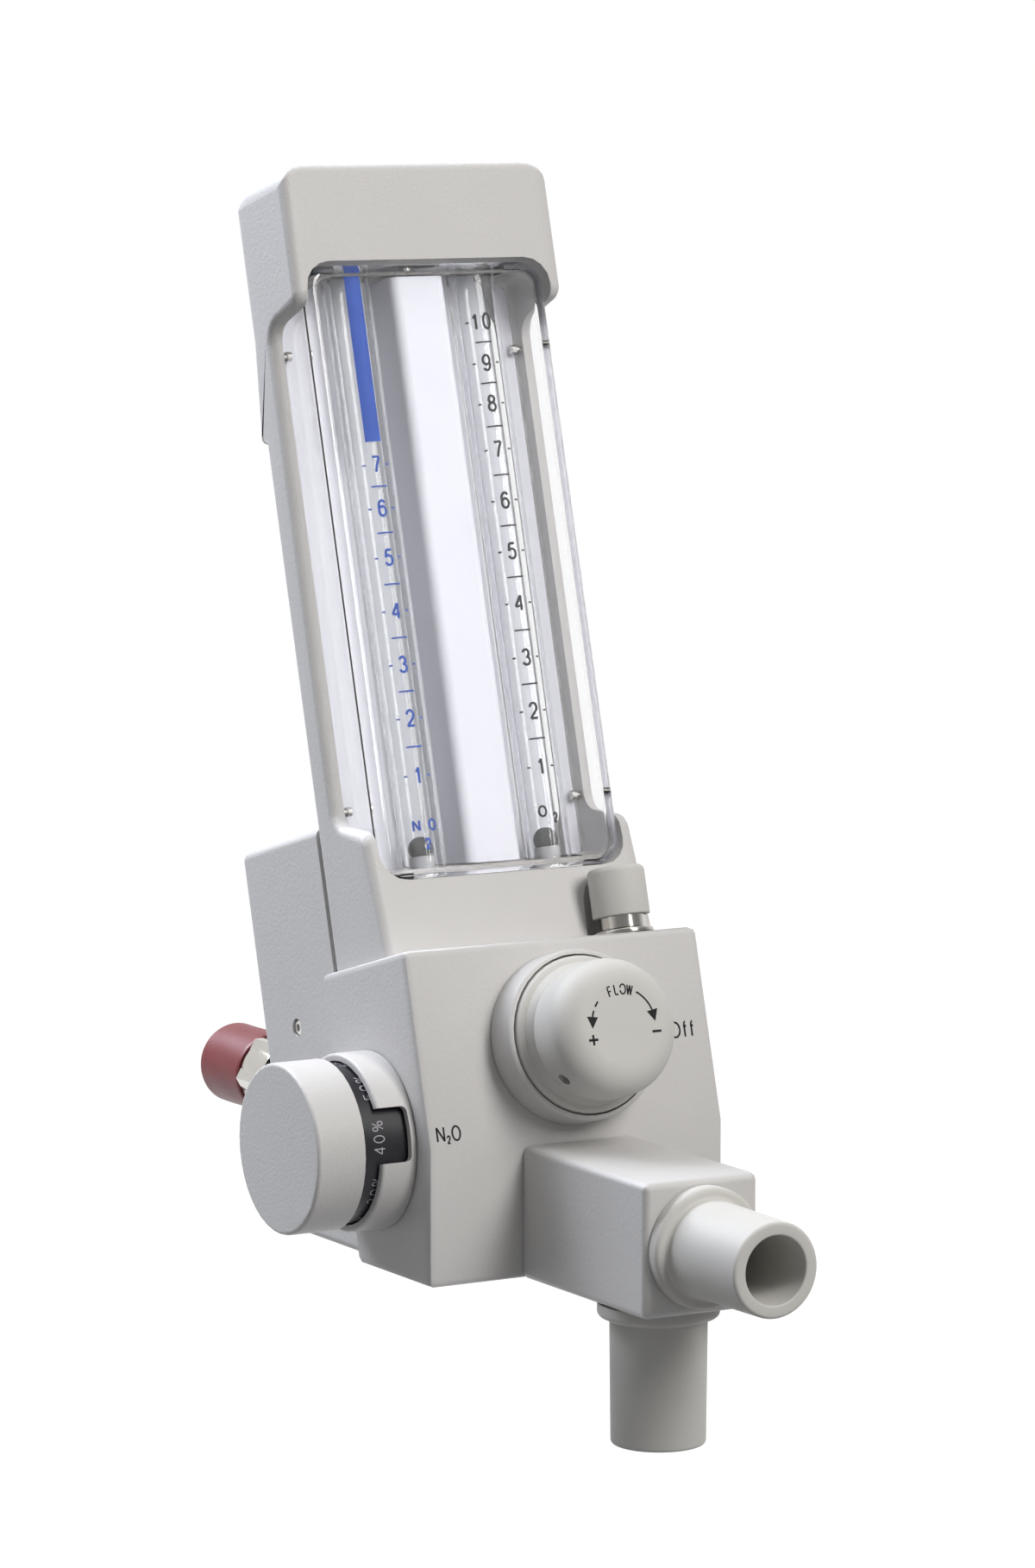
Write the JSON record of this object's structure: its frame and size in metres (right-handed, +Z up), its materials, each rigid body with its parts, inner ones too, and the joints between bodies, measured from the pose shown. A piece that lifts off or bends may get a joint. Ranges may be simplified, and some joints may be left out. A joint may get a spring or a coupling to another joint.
{
  "type": "medical flowmeter",
  "caption": "Leaning flowmeter head for two medical gases: clear-covered flow tubes in a cast frame, front flow knob, side percentage dial, flush button and outlet tee.",
  "frame": {"origin": "centre of the rear cover's flat rear face", "axes": "+Z up with the outlet level, +X to the right seen from the front, -Y towards the user; the head leans back towards +Y by 15.4 degrees"},
  "size_m": [0.1041, 0.2055, 0.2873],
  "materials": {
    "powder_coat": "light warm grey, fine textured powder coat",
    "moulded_grey": "smooth light grey, satin",
    "white_enamel": "smooth white enamel",
    "clear_acrylic": "clear, polished",
    "black_anodised": "black anodised, satin",
    "black_ceramic": "black, polished",
    "stainless": "bright steel",
    "chrome": "polished plate",
    "brass": "machined",
    "aluminium": "plain sheet",
    "red_vinyl": "dark red soft vinyl, satin",
    "seal_rubber": "black rubber",
    "white_nylon": "white, matt"
  },
  "bodies": {
    "head": {"housing_frame": "powder_coat", "control_block": "powder_coat", "rear_cover": "powder_coat", "outlet_tee": "powder_coat", "flow_collar": "powder_coat", "percent_collar": "powder_coat", "front_port": "moulded_grey", "bottom_port": "moulded_grey", "back_panel": "white_enamel", "centre_channel": "white_enamel", "window_cover": "clear_acrylic", "n2o_flow_tube": "clear_acrylic", "o2_flow_tube": "clear_acrylic", "return_pipe": "stainless", "cover_screw_left_top": "stainless", "cover_screw_right_top": "stainless", "cover_screw_left_foot": "stainless", "cover_screw_right_foot": "stainless", "frame_screw_left": "stainless", "frame_screw_right": "stainless", "n2o_inlet_pipe": "stainless", "o2_inlet_pipe": "stainless", "cover_side_screw_left": "stainless", "cover_side_screw_right": "stainless", "bracket_screw_left": "stainless", "bracket_screw_right": "stainless", "flush_bezel": "chrome", "n2o_inlet_fitting": "chrome", "o2_inlet_fitting": "chrome", "flow_valve_bonnet": "brass", "mixer_bush": "brass", "fail_safe_valve": "brass", "cover_bracket": "aluminium", "n2o_foot_seal": "seal_rubber", "n2o_head_seal": "seal_rubber", "o2_foot_seal": "seal_rubber", "o2_head_seal": "seal_rubber", "n2o_tube_seat": "white_nylon", "o2_tube_seat": "white_nylon", "n2o_tube_stop": "white_nylon", "o2_tube_stop": "white_nylon"},
    "flow_knob": {"flow_knob": "moulded_grey", "knob_set_screw": "stainless", "flow_valve_stem": "stainless"},
    "percent_dial": {"percent_knob": "powder_coat", "percent_drum": "black_anodised", "mixer_spindle": "stainless"},
    "flush": {"flush_button": "moulded_grey", "flush_stem": "stainless", "flush_spring": "stainless"},
    "n2o_ball": {"n2o_float": "black_ceramic"},
    "o2_ball": {"o2_float": "black_ceramic"},
    "n2o_cap": {"n2o_dust_cap": "red_vinyl"},
    "o2_cap": {"o2_dust_cap": "red_vinyl"}
  },
  "joints": [
    {"name": "flow_knob_turn", "type": "hinge", "parent": "head", "child": "flow_knob", "pos_m": [0, -0.08241, 0.00434], "axis": [0, -0.9641, 0.2656], "range_deg": [0, 270]},
    {"name": "percent_dial_turn", "type": "hinge", "parent": "head", "child": "percent_dial", "pos_m": [-0.0395, -0.06183, -0.01886], "axis": [-1, 0, 0], "range_deg": [-160, 120]},
    {"name": "flush_button_press", "type": "slide", "parent": "head", "child": "flush", "axis": [0, -0.2656, -0.9641], "range_m": [0, 0.003], "stiffness_N_per_m": 500, "springref_m": -0.003},
    {"name": "n2o_ball_rise", "type": "slide", "parent": "head", "child": "n2o_ball", "axis": [0, 0.2656, 0.9641], "range_m": [0, 0.136]},
    {"name": "o2_ball_rise", "type": "slide", "parent": "head", "child": "o2_ball", "axis": [0, 0.2656, 0.9641], "range_m": [0, 0.136]},
    {"name": "n2o_cap_pull", "type": "slide", "parent": "head", "child": "n2o_cap", "axis": [0, 1, 0], "range_m": [0, 0.024]},
    {"name": "o2_cap_pull", "type": "slide", "parent": "head", "child": "o2_cap", "axis": [0, 1, 0], "range_m": [0, 0.024]}
  ]
}
